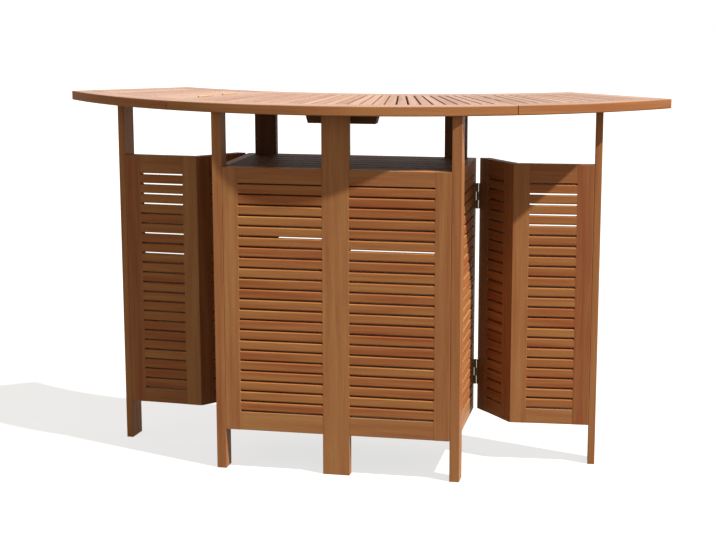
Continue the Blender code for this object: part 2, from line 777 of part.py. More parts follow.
def main():
    clear_scene()
    frame_wood = principled("oiled teak frame", (0.36, 0.16, 0.06), 0.55)
    slat_wood = principled("oiled teak slats", (0.40, 0.18, 0.07), 0.55)
    top_wood = principled("sunlit teak top", (0.55, 0.33, 0.19), 0.5)
    brass = principled("brass", (0.60, 0.42, 0.14), 0.35, 1.0)
    bodies = make_bodies()
    counter = bodies["counter"]
    make_legs(counter, frame_wood)
    make_front_panel(counter, frame_wood, slat_wood)
    make_side_panels(counter, frame_wood, slat_wood)
    for name, level in (("upper", PANEL_TOP), ("lower", LOWER_SHELF_Z)):
        make_shelf(name + "_shelf", level, counter, slat_wood)
    make_rear_rails(counter, frame_wood)
    make_middle_top(counter, top_wood, top_wood)
    for name, side in SIDES:
        make_leaf(name, side, bodies["leaf_" + name], top_wood, top_wood)
        make_wing(name, side, bodies["wing_" + name], frame_wood, slat_wood)
    make_hinges(bodies, brass)


main()
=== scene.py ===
"""Looks of the folding slatted bar counter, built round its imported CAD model."""
import math
import random

import bmesh
import bpy
from bpy.props import FloatProperty, FloatVectorProperty, IntProperty, PointerProperty
from bpy.types import Operator, Panel, PropertyGroup
from mathutils import Matrix, Vector


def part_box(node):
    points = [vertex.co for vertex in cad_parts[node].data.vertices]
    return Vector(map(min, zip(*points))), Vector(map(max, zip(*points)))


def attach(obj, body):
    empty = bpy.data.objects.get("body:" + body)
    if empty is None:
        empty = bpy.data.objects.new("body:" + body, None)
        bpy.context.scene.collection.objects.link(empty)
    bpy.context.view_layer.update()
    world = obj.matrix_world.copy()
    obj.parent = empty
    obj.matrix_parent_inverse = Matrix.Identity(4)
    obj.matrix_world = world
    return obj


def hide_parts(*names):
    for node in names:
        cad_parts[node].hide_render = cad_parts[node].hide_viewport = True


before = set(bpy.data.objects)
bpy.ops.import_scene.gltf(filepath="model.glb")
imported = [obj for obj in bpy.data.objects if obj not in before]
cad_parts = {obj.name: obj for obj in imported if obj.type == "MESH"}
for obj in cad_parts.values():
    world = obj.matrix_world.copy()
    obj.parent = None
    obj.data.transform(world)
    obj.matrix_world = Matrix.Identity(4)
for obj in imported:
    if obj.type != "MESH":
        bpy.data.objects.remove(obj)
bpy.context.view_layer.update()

bl_info = {
    "name": "Slatted Bar Counter",
    "version": (1, 0, 0),
    "blender": (4, 5, 0),
    "location": "3D View > Sidebar > Bar Counter",
    "description": "Dresses the folding teak bar counter: boards, battens, slats, hinges and stage",
    "category": "Object",
}

SIDES = (("left", -1), ("right", 1))

# Sizes that the solids were made with, in metres
FIT = 0.0003
TOP_FIT = 0.0005
COUNTER_H = 1.050
TOP_T = 0.027
PANEL_BOTTOM = 0.117
PANEL_TOP = 0.871
BODY_HALF_W = 0.351
BODY_DEPTH = 0.358
PANEL_T = 0.026
SIDE_INSET = 0.008
FRONT_LEG_W = 0.028
FRONT_LEG_D = 0.050
REAR_POST_T = 0.026
POST_W = 0.077
TOP_RAIL_H = 0.0435
BOTTOM_RAIL_H = 0.0533
WING_TOP_RAIL_H = 0.0533
WING_BOTTOM_RAIL_H = 0.0435
FRONT_STILE_W = 0.045
SIDE_STILE_W = 0.040
BATTEN_H = 0.0257
BATTEN_GAP = 0.0040
BATTEN_T = 0.0256
TONGUE_L = 0.003
SHELF_T = 0.018
SHELF_BOARD_W = 0.046
SHELF_GAP = 0.0055
LOWER_SHELF_Z = 0.165
BEARER_W = 0.020
BEARER_H = 0.030
FRONT_R = 1.179
APEX_OVERHANG = 0.063
MIDDLE_DEPTH = 0.462
BACK_R = 1.151
RIM_W = 0.062
JOINT_ANGLE = math.radians(24.8)
# At the hinge lines the solids stand JOINT_GAP apart. The boards show closer, as real ones do.
JOINT_GAP = 0.004
JOINT_SHOWN = 0.002
JOINT_RAIL_W = 0.042
END_FRONT_ANGLE = math.radians(49.5)
END_BACK_ANGLE = math.radians(47.2)
END_RAIL_W = 0.048
SLAT_T = 0.018
SLAT_W = 0.0293
SLAT_GAP = 0.0045
SLAT_BATTEN_W = 0.050
CLEAT_TAPER = 0.010
WING_CORNER_X = 0.465
WING_CORNER_Y = 0.225
WING_FRONT_TURN = math.radians(3.9)
WING_CLOSED_TURN = math.radians(168.0)
WING_FRONT_W = 0.2273
WING_STILE_W = 0.047
WING_LEG_W = 0.020
WING_LEG_D = 0.070
HINGE_OFFSET = 0.0035
WING_HINGE_L = 0.075
WING_HINGE_PLATE = 0.022
WING_HINGE_INSET = 0.075
LEAF_AXIS_RISE = 0.0010
LEAF_HINGE_L = 0.060
LEAF_HINGE_SPREAD = 0.105
HINGE_PLATE_T = 0.0014
BARREL_R = 0.0030
HOLLOW_R = 0.004
HOLLOW_SPARE = 0.002
BEARER_SETBACK = 0.001

# Bent battens under the slats, which show from below only
BENT_SETBACK = 0.001
BENT_DROP = 0.0002
BENT_EASE = 0.001

# Screw heads, their rows, and their slots' turns on the body and on a wing
SCREW_RISE = 0.00022
SCREW_HALF_SLOT = 0.00045
SCREW_CORE = 0.97
SCREW_BEVEL = 0.9
SCREW_STEPS = 10
SCREW_ROW = 3
SCREW_APART = WING_HINGE_L * 0.33
SCREW_TURNS = (0.6, 1.1)

# How finely bent boards are made, and which edges look sharp
MIDDLE_STEPS = 72
LEAF_STEPS = 36
BENT_STEPS = 24
SHARP_ANGLE = math.radians(38)

# Slack when boards are counted, and how much the map is squeezed on end grain
COUNT_SLACK = 0.1
END_GRAIN_REACH = 0.2
TOP_UNDER = COUNTER_H - TOP_T
LEG_TOP = TOP_UNDER - FIT
SLATS_UNDER = COUNTER_H - SLAT_T
SIDE_X = BODY_HALF_W - SIDE_INSET
SIDE_INNER_X = SIDE_X - PANEL_T
BODY_OPENING = (PANEL_BOTTOM + BOTTOM_RAIL_H, PANEL_TOP - TOP_RAIL_H)
WING_OPENING = (PANEL_BOTTOM + WING_BOTTOM_RAIL_H, PANEL_TOP - WING_TOP_RAIL_H)
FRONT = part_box("centre_post")[0].y
REAR = FRONT + BODY_DEPTH
FRONT_CENTRE = Vector((0, FRONT + FRONT_R - APEX_OVERHANG))
BACK_CENTRE = FRONT_CENTRE + Vector((0, MIDDLE_DEPTH + BACK_R - FRONT_R))
FAN_FRONT_R = FRONT_R - RIM_W - TOP_FIT
FAN_BACK_R = BACK_R + RIM_W + TOP_FIT
RAIL_REACH = JOINT_GAP / 2 + JOINT_RAIL_W
FAN_PARTS = (" centre", " radius", " start", " width", " pitch")
RIMS = (("front_rim", FRONT_CENTRE, (FRONT_R, FRONT_R - RIM_W)),
        ("back_rim", BACK_CENTRE, (BACK_R + RIM_W, BACK_R)))

# Rows that daylight shows through, counted from the top: the middle of a run,
# how far the run reaches from it, and two more rows. Row -9 is none.
NO_DAYLIGHT = (-9.0, 0.1, -9.0, -9.0)
FRONT_DAYLIGHT = {"left": (5.0, 0.1, -9.0, -9.0), "right": (6.0, 0.1, -9.0, -9.0)}
WING_DAYLIGHT = {"left": (1.5, 1.6, 6.0, 8.0), "right": (2.5, 1.6, -9.0, -9.0)}


def linear(hex_colour):
    """The linear RGBA value of an sRGB hex colour."""
    digits = hex_colour.lstrip("#")
    channels = [int(digits[i:i + 2], 16) / 255 for i in (0, 2, 4)]
    return (*(c / 12.92 if c <= 0.04045 else ((c + 0.055) / 1.055) ** 2.4 for c in channels), 1.0)


# Sizes and colours for the user

def length_prop(name, description, default, low, high):
    return FloatProperty(name=name, description=description, default=default, min=low, max=high,
                         unit="LENGTH")


def colour_prop(name, description, shade):
    return FloatVectorProperty(name=name, description=description, default=linear(shade),
                               subtype="COLOR", size=4, min=0, max=1)


class BarCounterSizes(PropertyGroup):
    """Fine sizes of the boards that the solids leave plain."""
    edge_ease: length_prop(
        "Eased edge", "Rounding along the edges of frame boards", 0.0014, 0.0005, 0.004)
    rim_ease: length_prop(
        "Rim rounding", "Rounding along the rims of the top", 0.0025, 0.001, 0.008)
    batten_ease: length_prop(
        "Batten rounding", "Rounding along the louvre battens' edges", 0.0032, 0.0005, 0.006)
    batten_slope: length_prop(
        "Batten slope", "How much higher a batten's top is behind, so that rain runs off in front",
        0.0022, 0, 0.003)
    end_ease: length_prop(
        "Eased end", "Rounding round the ends of all boards", 0.0005, 0.0002, 0.002)
    slat_ease: length_prop(
        "Slat rounding", "Rounding along the top slats' edges", 0.0022, 0.0005, 0.005)
    screw_head: length_prop(
        "Screw head", "Width of the hinge screws' heads", 0.0062, 0.003, 0.01)
    grain_seed: IntProperty(
        name="Grain seed", description="Picks where in the wood each board was cut",
        default=252, min=0)


class BarCounterColours(PropertyGroup):
    """Colours of the oiled wood and the brass."""
    frame_light: colour_prop("Frame, light", "Light wood of posts, stiles and rails", "#A1754A")
    frame_dark: colour_prop("Frame, dark", "Dark grain of posts, stiles and rails", "#875032")
    batten_light: colour_prop("Battens, light", "Golden boards of the louvres", "#A37747")
    batten_dark: colour_prop("Battens, dark", "Reddish boards and grain of the louvres", "#89492B")
    # The top colours are partly sun-bleaching and partly painted light: the upward faces of the top
    # get a paler, greyer teak for the strong light falling on them.
    top_light: colour_prop("Top, light", "Sun-bleached wood of the top", "#A78E80")
    top_dark: colour_prop("Top, dark", "Grain of the top", "#83695D")
    # The inside colours are painted shade: the shelves, rear posts, rear rails and cross cleat
    # stand in shade under the top, and this darker teak stands in for that shade.
    inside_light: colour_prop(
        "Inside, light", "Wood of the shelves and the rear frame, darkened as painted shade", "#6E4C33")
    inside_dark: colour_prop("Inside, dark", "Grain of the shelves and the rear frame", "#4C3120")
    # The brass colours are painted light: a pale copy for the sunlit hinges of the top, and a dark
    # copy, painted shade, for the wing hinges and screws in shade.
    brass_rubbed: colour_prop("Brass, rubbed", "Hinges of the top, kept bright by use", "#BE9F7D")
    brass_tarnished: colour_prop("Brass, tarnished", "Hinges and screws of the wings", "#5A4A30")


# Plan geometry of the crescent and the wings

def unit(angle):
    """Direction from the front arc's centre, turned from -Y towards +X."""
    return Vector((math.sin(angle), -math.cos(angle)))


def turned(vector, angle):
    return Matrix.Rotation(angle, 2) @ vector


def meet(line, centre, radius):
    """Where a line meets a circle, on the side nearer the customer."""
    point, direction = line
    rel = point - centre
    half = rel.dot(direction)
    root = math.sqrt(half * half - rel.dot(rel) + radius * radius)
    hits = [point + direction * (-half + sign * root) for sign in (-1, 1)]
    return min(hits, key=lambda hit: hit.y)


def cross_lines(p, u, q, v):
    span = q - p
    return p + u * ((span.x * v.y - span.y * v.x) / (u.x * v.y - u.y * v.x))


def turn_of(point, centre):
    return math.atan2(point.x - centre.x, centre.y - point.y)


def joint_line(offset):
    """A line beside the right leaf's hinge line, moved outwards by offset."""
    along = unit(JOINT_ANGLE)
    return FRONT_CENTRE + Vector((-along.y, along.x)) * offset, along


def end_line(offset):
    """The right end cut, moved inwards by offset."""
    front = FRONT_CENTRE + unit(END_FRONT_ANGLE) * FRONT_R
    back_ray = (FRONT_CENTRE, unit(END_BACK_ANGLE))
    back = meet(back_ray, BACK_CENTRE, BACK_R)
    along = (front - back).normalized()
    return front - Vector((-along.y, along.x)) * offset, along


def mirrored(line):
    return tuple(Vector((-v.x, v.y)) for v in line)


def flipped(points, side):
    return [Vector((side * p.x, p.y)) for p in points]


def wing_plan():
    """The right wing's axis, corner, directions and bevelled hinge edge."""
    axis = Vector((SIDE_X + HINGE_OFFSET, REAR + HINGE_OFFSET))
    corner = Vector((WING_CORNER_X, FRONT + WING_CORNER_Y))
    reach = axis - corner
    back = turned(reach.normalized(), -math.asin(HINGE_OFFSET / reach.length))
    back_in = Vector((back.y, -back.x))
    out = Vector((math.cos(WING_FRONT_TURN), math.sin(WING_FRONT_TURN)))
    out_in = Vector((-out.y, out.x))
    inner = cross_lines(corner + back_in * PANEL_T, back, corner + out_in * PANEL_T, out)
    face = axis + turned(Vector((0, HINGE_OFFSET)), -WING_CLOSED_TURN)
    run = turned(Vector((1, 0)), -WING_CLOSED_TURN)
    return {
        "axis": axis, "corner": corner, "inner": inner, "back": back, "back_in": back_in,
        "out": out, "out_in": out_in,
        "bevel_out": cross_lines(corner, back, face, run),
        "bevel_in": cross_lines(corner + back_in * PANEL_T, back, face, run),
    }


# Boards

# One rounded corner: how far each point lies back along either side, in
# roundings. The outer two keep the flat faces evenly lit.
CORNER = ((1.2, 0.0), (1.0, 0.0), (0.5, 0.134), (0.134, 0.5), (0.0, 1.0), (0.0, 1.2))


def eased_ring(corners, ease):
    """An outline with each of its corners rounded."""
    ring = []
    for i, corner in enumerate(corners):
        before = (corners[i - 1] - corner).normalized() * ease
        after = (corners[(i + 1) % len(corners)] - corner).normalized() * ease
        ring += [corner + before * back + after * onward for back, onward in CORNER]
    return ring


def middle_of(points):
    return sum(points, Vector((0, 0, 0))) / len(points)


def cut(a, b, low, high):
    """The outline of a board's cut, upright between two plan points."""
    return [Vector((p.x, p.y, z)) for p, z in ((a, low), (b, low), (b, high), (a, high))]


def linked(name, data):
    """A new object in the scene, of a mesh, light or camera."""
    made = bpy.data.objects.new(name, data)
    bpy.context.scene.collection.objects.link(made)
    return made


def piece_from(name, bm, finish=None):
    mesh = bpy.data.meshes.new(name)
    bm.to_mesh(mesh)
    bm.free()
    if finish:
        mesh.materials.append(finish)
    return linked(name, mesh)


def applied(piece, modifier):
    """Turn a piece and its modifier into one plain mesh."""
    graph = bpy.context.evaluated_depsgraph_get()
    mesh = bpy.data.meshes.new_from_object(piece.evaluated_get(graph))
    bare = piece.data
    piece.modifiers.remove(modifier)
    piece.data = mesh
    bpy.data.meshes.remove(bare)
    return mesh


def smooth(mesh):
    mesh.shade_smooth()
    mesh.set_sharp_from_angle(angle=SHARP_ANGLE)


def standing(direction):
    """The turn that stands the Z axis along a direction."""
    return Vector((0, 0, 1)).rotation_difference(direction).to_matrix().to_4x4()


class Timber:
    """Boards of one piece, each with its grain along its own length."""

    def __init__(self, seed, repeated=False):
        self.bm = bmesh.new()
        self.grain = self.bm.loops.layers.uv.new("grain")
        self.board_value = None if repeated else self.bm.faces.layers.float.new("board")
        self.chance = random.Random(seed)

    def add(self, sections, ease, far_end=None):
        """Skin a board from its corner outlines, with rounded edges and ends.

        The far end has its own rounding where one is given.
        """
        rings = [eased_ring(s, ease) for s in sections]
        end_ease = bpy.context.scene.bar_sizes.end_ease
        starts = []
        for at, beside, tip in ((0, 1, end_ease), (-1, -2, far_end or end_ease)):
            centre = middle_of(sections[at])
            onward = middle_of(sections[beside]) - centre
            inward = onward.normalized() * tip
            small = [c + (centre - c).normalized() * tip for c in sections[at]]
            edge = [p + inward for p in rings[at]]
            # a third ring close by keeps the long faces evenly lit
            beyond = [p.lerp(q, tip / onward.length) for p, q in zip(edge, rings[beside])]
            starts.append((eased_ring(small, ease), edge, beyond))
        rings = [*starts[0], *rings[1:-1], *reversed(starts[1])]
        value = self.chance.random()
        count = len(rings[0])
        around = [0.0]
        for i in range(count):
            around.append(around[-1] + (rings[1][(i + 1) % count] - rings[1][i]).length)
        length = 0.0
        verts = [self.bm.verts.new(p) for p in rings[0]]
        first = verts
        for a, b in zip(rings, rings[1:]):
            step = (middle_of(b) - middle_of(a)).length
            onward = [self.bm.verts.new(p) for p in b]
            for i in range(count):
                j = (i + 1) % count
                face = self.bm.faces.new((verts[i], verts[j], onward[j], onward[i]))
                self.mark(face, value, [(length + run, around[k]) for run, k in
                                        ((0, i), (0, i + 1), (step, i + 1), (step, i))])
            length += step
            verts = onward
        for ring in (first, verts):
            face = self.bm.faces.new(ring)
            across = (ring[len(CORNER)].co - ring[0].co).normalized()
            up = (ring[2 * len(CORNER)].co - ring[len(CORNER)].co).normalized()
            self.mark(face, value,
                      [(v.co.dot(across) * END_GRAIN_REACH, v.co.dot(up)) for v in ring])

    def mark(self, face, value, spots):
        if self.board_value:
            face[self.board_value] = value
        for loop, spot in zip(face.loops, spots):
            loop[self.grain].uv = spot

    def upright(self, outline, z0, z1, ease):
        """A board on end, from its plan outline."""
        self.add([[Vector((p[0], p[1], z)) for p in outline] for z in (z0, z1)], ease)

    def beam(self, start, end, inward, z, ease, thick=PANEL_T):
        """A level board between two plan points, thick towards inward."""
        self.add([cut(point, point + inward * thick, *z) for point in (start, end)], ease)

    def bent(self, outer, inner, z0, z1, ease, far_end=None):
        """A flat board bent in plan, between two rows of points."""
        self.add([cut(a, b, z0, z1) for a, b in zip(outer, inner)], ease, far_end)

    def finish(self, name, material):
        bmesh.ops.recalc_face_normals(self.bm, faces=self.bm.faces)
        piece = piece_from(name, self.bm, material)
        smooth(piece.data)
        return piece


def arc_points(centre, radius, start, end, steps):
    a, b = turn_of(start, centre), turn_of(end, centre)
    return [centre + unit(a + (b - a) * i / steps) * radius for i in range(steps + 1)]


def band_points(line_a, line_b, centre, radii, steps, side):
    """Two rows of points along two arcs, between two cuts."""
    rows = []
    for radius in radii:
        points = arc_points(centre, radius, meet(line_a, centre, radius),
                            meet(line_b, centre, radius), steps)
        rows.append(flipped(points, side))
    return rows


# Node trees

MATH, MIX, RANGE = "ShaderNodeMath", "ShaderNodeMix", "ShaderNodeMapRange"


def set_inputs(node, values):
    """Set or link a node's inputs; a node given for one is its first output."""
    for key, value in values.items() if isinstance(values, dict) else enumerate(values):
        if isinstance(value, bpy.types.Node):
            value = value.outputs[0]
        if isinstance(value, bpy.types.NodeSocket):
            node.id_data.links.new(value, node.inputs[key])
        else:
            node.inputs[key].default_value = value


def add_node(tree, kind, values=(), **settings):
    """Add a node, with its settings and its inputs set or linked."""
    node = tree.nodes.new(kind)
    for key, value in settings.items():
        setattr(node, key, value)
    set_inputs(node, values)
    return node


def new_tree(name, inputs):
    """A geometry tree with named inputs; returns it and what it is given."""
    tree = bpy.data.node_groups.new(name, "GeometryNodeTree")
    tree.interface.new_socket("Geometry", in_out="INPUT", socket_type="NodeSocketGeometry")
    for label, kind in inputs:
        tree.interface.new_socket(label, in_out="INPUT", socket_type="NodeSocket" + kind)
    tree.interface.new_socket("Geometry", in_out="OUTPUT", socket_type="NodeSocketGeometry")
    return tree, add_node(tree, "NodeGroupInput").outputs


def spread_copies(tree, given, step):
    """Copies of the given board, with a random board value and a place on each."""
    line = add_node(tree, "GeometryNodeMeshLine", {"Count": given["Count"], "Offset": step},
                    mode="OFFSET")
    last = add_node(tree, "GeometryNodeInstanceOnPoints",
                    {"Points": line, "Instance": given["Geometry"]})
    chance = add_node(tree, "FunctionNodeRandomValue", {"Seed": given["Seed"]}, data_type="FLOAT")
    index = add_node(tree, "GeometryNodeInputIndex")
    for name, value in (("board", chance.outputs[1]), ("place", index)):
        last = add_node(tree, "GeometryNodeStoreNamedAttribute",
                        {"Geometry": last, "Name": name, "Value": value},
                        data_type="FLOAT", domain="INSTANCE")
    return add_node(tree, "GeometryNodeRealizeInstances", {"Geometry": last})


def end_tree(tree, given, geometry):
    done = add_node(tree, "GeometryNodeSetMaterial",
                    {"Geometry": geometry, "Material": given["Finish"]})
    add_node(tree, "NodeGroupOutput", {"Geometry": done})
    return tree


def row_tree():
    """One screw repeated along a straight step."""
    tree, given = new_tree("row", (("Count", "Int"), ("Step", "Vector"), ("Seed", "Int"),
                                   ("Finish", "Material")))
    return end_tree(tree, given, spread_copies(tree, given, given["Step"]))


def bank_tree():
    """One batten repeated upwards, its top sloped up behind, or down in open rows.

    Rows count from the top. The open ones are a run round Open middle, and two
    more. A batten's points carry how far behind its front top edge they lie.
    """
    tree, given = new_tree("bank of battens", (
        ("Count", "Int"), ("Step", "Vector"), ("Seed", "Int"), ("Finish", "Material"),
        ("Slope", "Float"), ("Open middle", "Float"), ("Open reach", "Float"),
        ("Open too", "Float"), ("Open last", "Float")))
    whole = spread_copies(tree, given, given["Step"])
    place, rise = (add_node(tree, "GeometryNodeInputNamedAttribute", {"Name": name},
                            data_type="FLOAT") for name in ("place", "rise"))
    below = add_node(tree, MATH, (given["Count"], place), operation="SUBTRACT")
    row = add_node(tree, MATH, (below, 1.0), operation="SUBTRACT")
    opened = add_node(tree, MATH, (row, given["Open middle"], given["Open reach"]),
                      operation="COMPARE")
    for label in ("Open too", "Open last"):
        single = add_node(tree, MATH, (row, given[label], 0.1), operation="COMPARE")
        opened = add_node(tree, MATH, (opened, single), operation="MAXIMUM")
    way = add_node(tree, MATH, (opened, -2.0, 1.0), operation="MULTIPLY_ADD")
    slope = add_node(tree, MATH, (way, given["Slope"]), operation="MULTIPLY")
    lift = add_node(tree, MATH, (slope, rise), operation="MULTIPLY")
    offset = add_node(tree, "ShaderNodeCombineXYZ", {"Z": lift})
    shaped = add_node(tree, "GeometryNodeSetPosition", {"Geometry": whole, "Offset": offset})
    return end_tree(tree, given, shaped)


def fan_tree():
    """One slat, a unit wide and long, repeated and tapered between two arcs."""
    floats = [(end + part, "Float") for end in ("Front", "Back") for part in FAN_PARTS]
    tree, given = new_tree("fan of slats", (
        ("Count", "Int"), ("Seed", "Int"), ("Finish", "Material"), *floats))
    whole = spread_copies(tree, given, (0, 0, 0))
    place = add_node(tree, "GeometryNodeInputNamedAttribute", {"Name": "place"}, data_type="FLOAT")
    local = add_node(tree, "ShaderNodeSeparateXYZ",
                     {"Vector": add_node(tree, "GeometryNodeInputPosition")}).outputs
    # the copies lie on one another here, so every position is still the unit slat's
    ends = []
    for end in ("Front", "Back"):
        centre, radius, start, width, pitch = (given[end + part] for part in FAN_PARTS)
        first = add_node(tree, MATH, (place, pitch, start), operation="MULTIPLY_ADD")
        angle = add_node(tree, MATH, (local["X"], width, first),
                         operation="MULTIPLY_ADD")
        x, reach = (add_node(tree, MATH, (
            add_node(tree, MATH, (angle,), operation=wave), radius),
            operation="MULTIPLY") for wave in ("SINE", "COSINE"))
        y = add_node(tree, MATH, (centre, reach), operation="SUBTRACT")
        ends.append(add_node(tree, "ShaderNodeCombineXYZ", (x, y, local["Z"])))
    between = add_node(tree, MIX, {0: local["Y"], 4: ends[0], 5: ends[1]},
                       data_type="VECTOR", clamp_factor=False)
    shaped = add_node(tree, "GeometryNodeSetPosition",
                      {"Geometry": whole, "Position": between.outputs[1]})
    return end_tree(tree, given, shaped)


def tree_named(name, maker):
    return bpy.data.node_groups.get(name) or maker()


def grown(piece, tree, values, name):
    """Run a geometry tree on a piece and keep the result as a plain mesh."""
    modifier = piece.modifiers.new(tree.name, "NODES")
    modifier.node_group = tree
    identifiers = {item.name: item.identifier for item in tree.interface.items_tree
                   if item.in_out == "INPUT"}
    for label, value in values.items():
        modifier[identifiers[label]] = value
    mesh = applied(piece, modifier)
    piece.name = mesh.name = name
    for helper in ("place", "rise"):
        if helper in mesh.attributes:
            mesh.attributes.remove(mesh.attributes[helper])
    smooth(mesh)
    return piece


# Finishes

# Each kind of board: its finish's name, colours and roughness, how much boards differ, and
# the colours that its upward faces turn to, partly sun-bleaching and partly painted light
WOODS = {
    "frame": ("oiled teak, frame boards", "frame", 0.5, 0.42, None),
    "batten": ("oiled teak, louvre battens", "batten", 0.5, 0.22, None),
    # Painted shade: a darker teak for the shelves, rear frame and cleat, which stand in shade under
    # the top.
    "inside": ("darker oiled teak, inside", "inside", 0.6, 0.42, None),
    "top": ("sun-bleached teak, top", "frame", 0.55, 0.42, "top"),
}
# Streaks, fibres and pores: repeats a metre along and across a board, and detail
GRAIN = (((2.4, 62.0, 1.0), 3.0), ((9.0, 330.0, 1.0), 4.0), ((38.0, 900.0, 1.0), 2.0))


def new_finish(name):
    """A new material, its node tree and its shader."""
    material = bpy.data.materials.new(name)
    material.use_nodes = True
    return material, material.node_tree, material.node_tree.nodes["Principled BSDF"]


def shades(kind):
    colours = bpy.context.scene.bar_colours
    return [tuple(getattr(colours, kind + tone)) for tone in ("_light", "_dark")]


def darker(colour, share):
    return (*(c * share for c in colour[:3]), 1.0)


def teak(kind):
    """Oiled teak, planed and sanded: long straight streaks, fine dark pores.

    The grain runs along each board, because the map's U does. The streaks are
    drawn 8 to 16 mm wide and the pores 1 mm, coarser than the real 0.3 mm, so
    that they still show at a few metres. The oil has dried in, so the sheen is
    faint.
    """
    name, base, roughness, variety, bleached_and_lit_kind = WOODS[kind]
    if name in bpy.data.materials:
        return bpy.data.materials[name]
    light, dark = shades(base)
    material, tree, shader = new_finish(name)
    spot = add_node(tree, "ShaderNodeUVMap", uv_map="grain")
    board = add_node(tree, "ShaderNodeAttribute", attribute_name="board").outputs["Fac"]
    cut_from = add_node(tree, "ShaderNodeVectorMath", (board, (23.0, 11.0, 5.0), spot),
                        operation="MULTIPLY_ADD")
    drift = add_node(tree, "ShaderNodeMapping", {"Vector": cut_from, "Scale": (2.2, 14.0, 1.0)})
    wander = add_node(tree, "ShaderNodeTexNoise", {"Vector": drift, "Scale": 1.0, "Detail": 1.0})
    sway = add_node(tree, "ShaderNodeVectorMath",
                    (wander.outputs["Color"], (0.0, 0.022, 0.0), cut_from),
                    operation="MULTIPLY_ADD")
    tones = []
    for scale, detail in GRAIN:
        mapped = add_node(tree, "ShaderNodeMapping", {"Vector": sway, "Scale": scale})
        tones.append(add_node(tree, "ShaderNodeTexNoise", {
            "Vector": mapped, "Scale": 1.0, "Detail": detail, "Roughness": 0.55}))
    streaks, fibres, pores = tones
    both = add_node(tree, MATH, (fibres, 0.45, streaks), operation="MULTIPLY_ADD")
    shifted = add_node(tree, MATH, (board, variety, both), operation="MULTIPLY_ADD")
    level = add_node(tree, RANGE, {
        "Value": shifted, "From Min": 0.41 + variety / 2, "From Max": 1.07 + variety / 2})
    wood = add_node(tree, MIX, {0: level, 6: dark, 7: light}, data_type="RGBA")
    # Upward faces turn to the paler top colours: partly sun-bleaching, partly painted light for the
    # sun on the top.
    if bleached_and_lit_kind:
        facing = add_node(tree, "ShaderNodeTexCoord").outputs["Normal"]
        upward = add_node(tree, "ShaderNodeSeparateXYZ", (facing,)).outputs["Z"]
        bleached_and_lit_share = add_node(tree, RANGE, {
            "Value": upward, "From Min": 0.5, "From Max": 0.95})
        bleached_and_lit_colours = shades(bleached_and_lit_kind)
        pale = add_node(tree, MIX, {0: level, 6: bleached_and_lit_colours[1], 7: bleached_and_lit_colours[0]},
                        data_type="RGBA")
        wood = add_node(tree, MIX, {0: bleached_and_lit_share, 6: wood.outputs[2], 7: pale.outputs[2]},
                        data_type="RGBA")
    pore = add_node(tree, RANGE, {
        "Value": pores, "From Min": 0.62, "From Max": 0.74, "To Min": 0.0, "To Max": 0.35})
    deep = add_node(tree, MIX, {0: pore, 6: wood.outputs[2], 7: darker(dark, 0.35)},
                    data_type="RGBA")
    sheen = add_node(tree, RANGE, {
        "Value": fibres, "To Min": roughness - 0.08, "To Max": roughness + 0.1})
    relief = add_node(tree, MATH, (pores, -0.6, fibres), operation="MULTIPLY_ADD")
    bump = add_node(tree, "ShaderNodeBump", {
        "Height": relief, "Strength": 0.35, "Distance": 0.0006})
    set_inputs(shader, {"Base Color": deep.outputs[2], "Roughness": sheen, "Normal": bump,
                        "Specular IOR Level": 0.08})
    return material


def brass(kind, metallic=1.0, dulled=0.42):
    """Rolled brass left outdoors: warm metal, dulled in soft 6 mm blotches."""
    name = kind + " brass"
    if name in bpy.data.materials:
        return bpy.data.materials[name]
    # The kind's colour is painted light: pale for the sunlit top hinges, dark as painted shade for
    # the wings.
    colour = tuple(getattr(bpy.context.scene.bar_colours, "brass_" + kind))
    material, tree, shader = new_finish(name)
    spot = add_node(tree, "ShaderNodeTexCoord").outputs["Object"]
    blotch = add_node(tree, "ShaderNodeTexNoise", {"Vector": spot, "Scale": 160.0, "Detail": 3.0})
    tone = add_node(tree, MIX, {0: blotch, 6: colour, 7: darker(colour, dulled)},
                    data_type="RGBA")
    worn = add_node(tree, RANGE, {"Value": blotch, "To Min": 0.45, "To Max": 0.7})
    set_inputs(shader, {"Base Color": tone.outputs[2], "Roughness": worn, "Metallic": metallic})
    return material


def seat(piece, body, slot, *nodes):
    """Let a finished piece ride on its body and stand for its solids."""
    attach(piece, body)
    if nodes:
        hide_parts(*nodes)


def seed_for(offset):
    return bpy.context.scene.bar_sizes.grain_seed * 100 + offset


# Pieces

def batten_levels(opening):
    """The lowest batten's underside, the step between battens and their number."""
    z0 = opening[0]
    room = opening[1] - z0
    count = int(room / (BATTEN_H + BATTEN_GAP) + COUNT_SLACK)
    gap = (room - count * BATTEN_H) / (count + 1)
    return z0 + gap, BATTEN_H + gap, count


def louvre_bank(name, start, end, inward, heights, body, node, seed, daylight=NO_DAYLIGHT):
    """Level battens between two stiles, in a panel's opening, let into both."""
    level, step, count = batten_levels(heights)
    sizes = bpy.context.scene.bar_sizes
    inset = inward * ((PANEL_T - BATTEN_T) / 2)
    timber = Timber(seed, repeated=True)
    tongue = (end - start).normalized() * TONGUE_L
    timber.beam(start + inset - tongue, end + inset + tongue, inward, (level, level + BATTEN_H),
                sizes.batten_ease, thick=BATTEN_T)
    bank = timber.finish(name + "_first", teak("batten"))
    rise = bank.data.attributes.new("rise", "FLOAT", "POINT")
    for vert in bank.data.vertices:
        if vert.co.z > level + BATTEN_H / 2:
            rise.data[vert.index].value = (vert.co.xy - start - inset).dot(inward) / BATTEN_T
    values = {"Count": count, "Step": (0.0, 0.0, step), "Seed": seed, "Finish": teak("batten"),
              "Slope": sizes.batten_slope}
    values.update(zip(("Open middle", "Open reach", "Open too", "Open last"), daylight))
    grown(bank, tree_named("bank of battens", bank_tree), values, name)
    seat(bank, body, "teak_slats", node)


